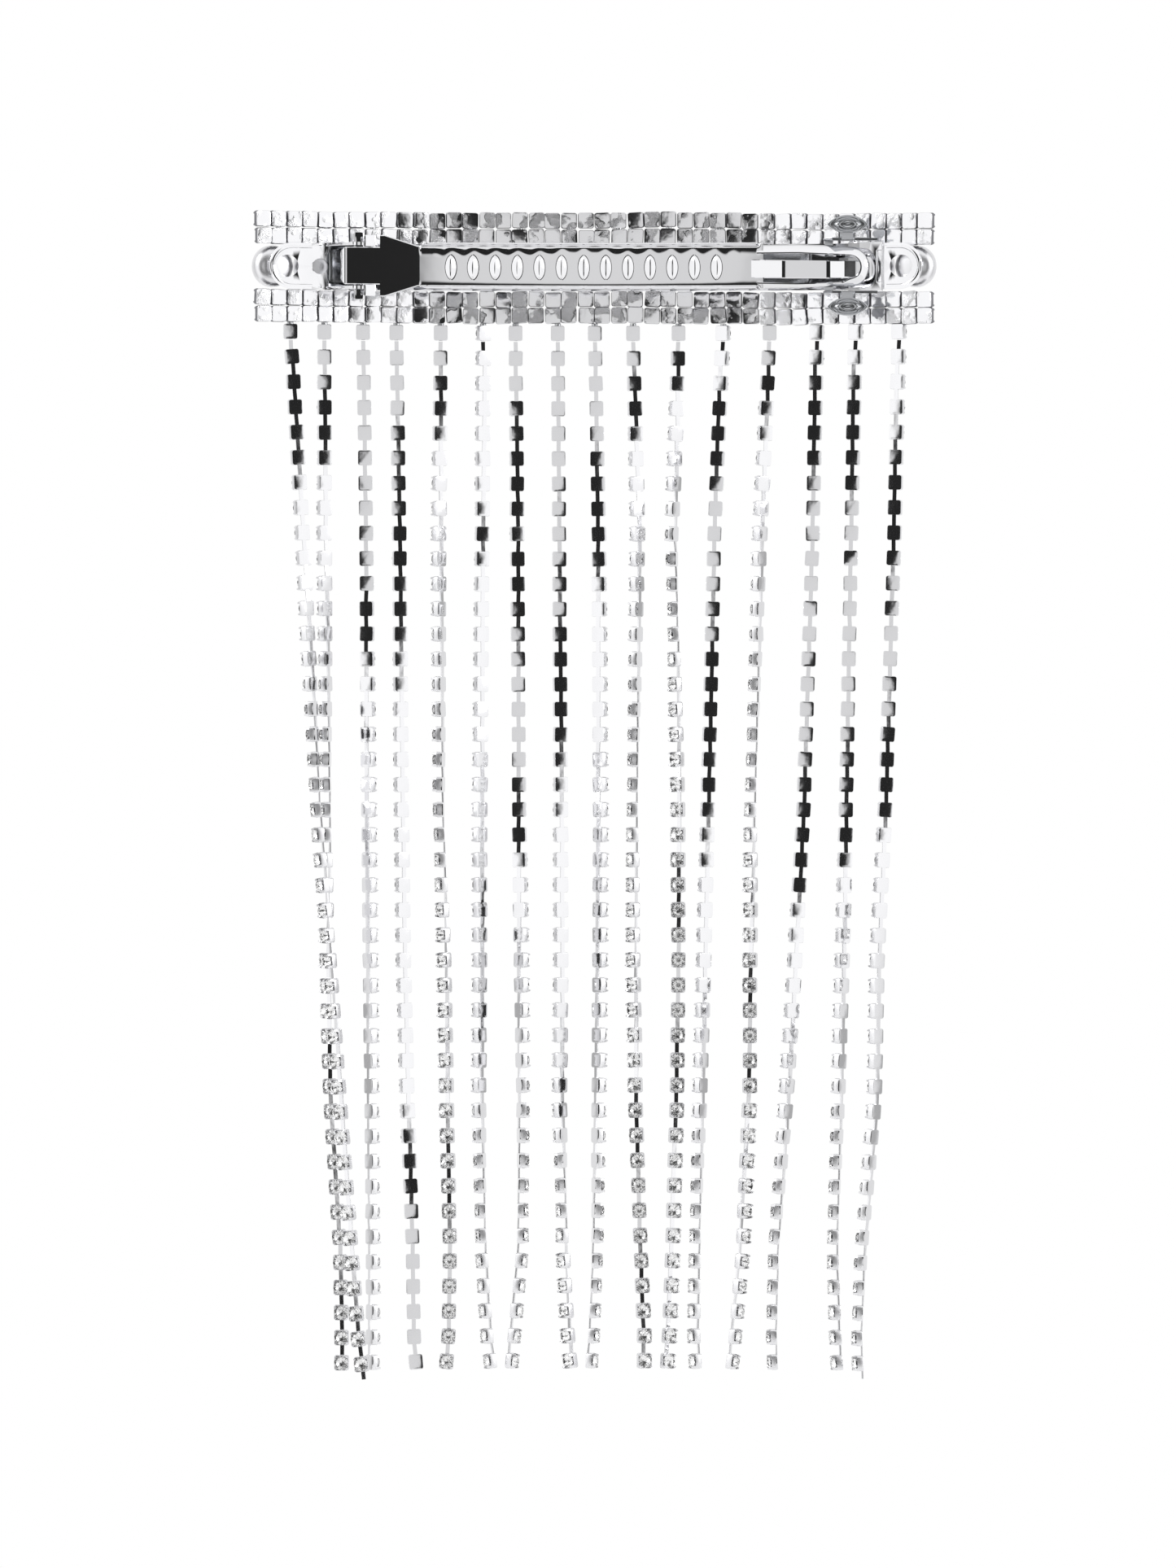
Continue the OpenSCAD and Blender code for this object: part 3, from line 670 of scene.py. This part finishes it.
def loopRail():
    # from the trough along the top, round the end and back along the bottom
    a = np.radians(np.linspace(90, -90, 25))
    along = np.linspace(rail["start"], rail["sideX"][-1], 40)
    at = np.linspace(rail["sideX"][0], rail["sideX"][-1], 40)
    x = np.concatenate([along, rail["endX"] + rail["radius"] * np.cos(a), along[::-1]])
    z = np.concatenate([np.interp(at, rail["sideX"], rail["topZ"]),
                        rail["endZ"] + (rail["radius"] + 0.2) * np.sin(a),
                        np.interp(at[::-1], rail["sideX"], rail["bottomZ"])])
    width = np.concatenate([np.interp(at, *rail["topHalf"]), np.full(25, rail["endHalf"]),
                            np.interp(at[::-1], rail["sideX"], rail["bottomHalf"])])
    return ribbon(np.stack([x, armY(x), z], 1), width, rail["thick"], rail["lean"])

bridge = {
    # the raised tongue from the trough's end, over the loop and down behind its end: X and Y of its front
    "line": [(23.9, -4.35), (24.6, -4.75), (28.7, -7.1), (29.2, -7.25),
             (35.5, -7.42), (36.1, -7.32), (40.0, -5.62), (40.8, -5.7)],
    "top": [1.0, 1.0, 0.85, 0.8, 0.72, 0.75, 0.8, 0.7],
    "bottom": [-1.8, -1.85, -1.98, -2.0, -2.0, -2.0, -2.0, -1.9],
    "thickness": 0.5, "edge": 0.12,
}

def bridgeTongue():
    line = np.array(bridge["line"])
    top, bottom = np.array(bridge["top"]), np.array(bridge["bottom"])
    # each bend is drawn with four close stations so that it stays crisp but rounded
    t = np.arange(len(line), dtype=float)
    steps = (-0.12, -0.03, 0.03, 0.12)
    fine = np.unique(np.concatenate([t[1:-1] + step for step in steps] + [t[[0, -1]]]))
    x, y = np.interp(fine, t, line[:, 0]), np.interp(fine, t, line[:, 1])
    top, bottom = np.interp(fine, t, top), np.interp(fine, t, bottom)
    e, k = bridge["edge"], bridge["thickness"]
    ring = [(top - e, 0), (top, e), (top, k), (bottom, k), (bottom, e), (bottom + e, 0)]
    verts = np.stack([np.stack([x, y + depth, z], 1) for z, depth in ring], 1)
    return verts.reshape(-1, 3), tubeFaces(len(x), len(ring))

def slab(x0, x1, y0, y1, z0, z1):
    verts = np.array([(x, y, z) for x in (x0, x1) for y in (y0, y1) for z in (z0, z1)], dtype=float)
    return verts, [[0, 1, 3, 2], [4, 6, 7, 5], [0, 4, 5, 1], [2, 3, 7, 6], [0, 2, 6, 4], [1, 5, 7, 3]]

def flatTab(x, y, z, tab, steps=24):
    # a bar along Z with rounded edges, its flat face turned by the tilt
    c, d = roundedBox(steps, 0.35)
    tilt = math.radians(tab["tilt"])
    wide, thick = tab["halfWidth"] * c, tab["halfThick"] * d
    dx, dy = wide * math.cos(tilt) - thick * math.sin(tilt), wide * math.sin(tilt) + thick * math.cos(tilt)
    z0, z1 = z - tab["halfLong"], z + tab["halfLong"]
    rings = [np.stack([x + r * dx, y + r * dy, np.full(steps, height)], 1)
             for r, height in ((0.9, z0), (1, z0 + 0.08), (1, z1 - 0.08), (0.9, z1))]
    return np.concatenate(rings), tubeFaces(4, steps)

# the flat tabs that turn in the ears' bores, and the plate in the loop behind the tongue
hingeTab = {"halfWidth": 0.78, "halfThick": 0.3, "halfLong": 1.25, "tilt": 11}
armParts = [armSheet(), loopRail(), bridgeTongue(), slab(23, 40, armY(32) - 0.1, armY(32) + 0.1, -1.7, 0.7)]
loopPlate = armParts[-1][0]
loopPlate[:, 1] += armY(loopPlate[:, 0]) - armY(32)
armParts += [flatTab(-36, -5.8, side * 3.9, hingeTab) for side in (-1, 1)]
fixNormals(addMesh("claspArm", *joined(armParts), "arm", ["clasp_arm"], [pressedSteel], smoothAngle=31,
                   slotName="polished_arm"))

def prism(outline, z0, z1, edge=0.07):
    # an outline in X-Y made a plate between two heights, its rims drawn in by the edge
    points = np.array(outline, dtype=float)
    inward = points.mean(0) - points
    inner = points + inward * edge / np.linalg.norm(inward, axis=1)[:, None]
    rings = [np.column_stack([ring, np.full(len(points), z)])
             for ring, z in ((inner, z0), (points, z0 + edge), (points, z1 - edge), (inner, z1))]
    return np.concatenate(rings), tubeFaces(4, len(points))

pad = {
    "middle": (38.8, 6.3), "long": 6.2, "half": 1.42,
    # scale of each ring and its Y: back, rim, groove, raised oval, its hollow
    "rings": [(0.97, -6.88), (1.0, -6.95), (1.0, -7.12), (0.95, -7.2), (0.82, -7.2), (0.74, -7.08),
              (0.64, -7.08), (0.55, -7.36), (0.45, -7.42), (0.3, -7.4), (0.22, -7.3)],
}

def leafPad(steps=48):
    # nested almond rings: x = cos t, z = sin t |sin t|^0.55, each with its own scale and depth
    t = np.arange(steps) * 2 * np.pi / steps
    x, z = np.cos(t) * pad["long"] / 2, np.sin(t) * np.abs(np.sin(t)) ** 0.55 * pad["half"]
    rings = [np.stack([pad["middle"][0] + k * x, np.full(steps, y), pad["middle"][1] + k * z], 1)
             for k, y in pad["rings"]]
    return np.concatenate(rings), tubeFaces(len(rings), steps)

def catchWing(barb):
    # pad, side plate, neck between them, and the barb that reaches to that height from the middle
    return joined([
        leafPad(),
        prism([(43.4, -5.2), (43.4, -6.4), (36.4, -7.4), (35.1, -4.4), (41, -4.4)], 3.85, 4.25),
        prism([(37.6, -6.9), (37.9, -7.25), (39.6, -7.25), (39.9, -6.9)], 3.9, 5.1),
        prism([(35.3, -4.8), (36.6, -4.8), (36.6, -4.4), (35.3, -4.4)], barb, 3.95),
        prism([(35.3, -4.4), (36.6, -4.4), (36.6, -7), (35.9, -7)], barb, barb + 0.4)])

for level, barb, side in (("upper", 1.45, 1), ("lower", 2.5, -1)):
    wingVerts, wingFaces = catchWing(barb)
    fixNormals(addMesh("catchWing" + level.capitalize(), wingVerts * (1, 1, side), wingFaces, "wing_" + level,
                       ["catch_wing_" + level], [springSteel], smoothAngle=40, slotName="spring_steel"))

rim = {
    "inset": 0.42, "half": 0.4, "thick": 0.3, "radius": 119.25,
    "left": (-49.8, -43.2), "right": (50.3, 44.8),   # from the plate's end to where the bead runs out
    "plateHalf": 3.55,
}

def endRim(endX, fromX):
    # a rounded bead round one end of the base plate
    out = np.sign(endX)
    r = rim["plateHalf"] - rim["inset"]
    centre = endX - out * rim["plateHalf"]
    a = np.radians(np.linspace(90, -90, 33))
    straight = np.linspace(fromX, centre, 8)[:-1]
    x = np.concatenate([straight, centre + out * r * np.cos(a), straight[::-1]])
    z = np.concatenate([np.full(7, r), r * np.sin(a), np.full(7, -r)])
    y = fringe["headerY"] - fringe["headerRadius"] + np.sqrt(rim["radius"] ** 2 - x ** 2)
    return ribbon(np.stack([x, y, z], 1), rim["half"], rim["thick"], 0.0)

fixNormals(addMesh("baseRims", *joined([endRim(*rim["left"]), endRim(*rim["right"])]), "base", (),
                   [pressedSteel], smoothAngle=40))

# the ears' folded tabs, beside the arm's neck
earTab = {"halfWidth": 0.95, "halfThick": 0.14, "halfLong": 0.85, "tilt": 24}
earTabs = [flatTab(-34.35, -6.85, side * 3.8, earTab) for side in (-1, 1)]
fixNormals(addMesh("earTabs", *joined(earTabs), "base", (), [pressedSteel], smoothAngle=38))
print("barrette built")
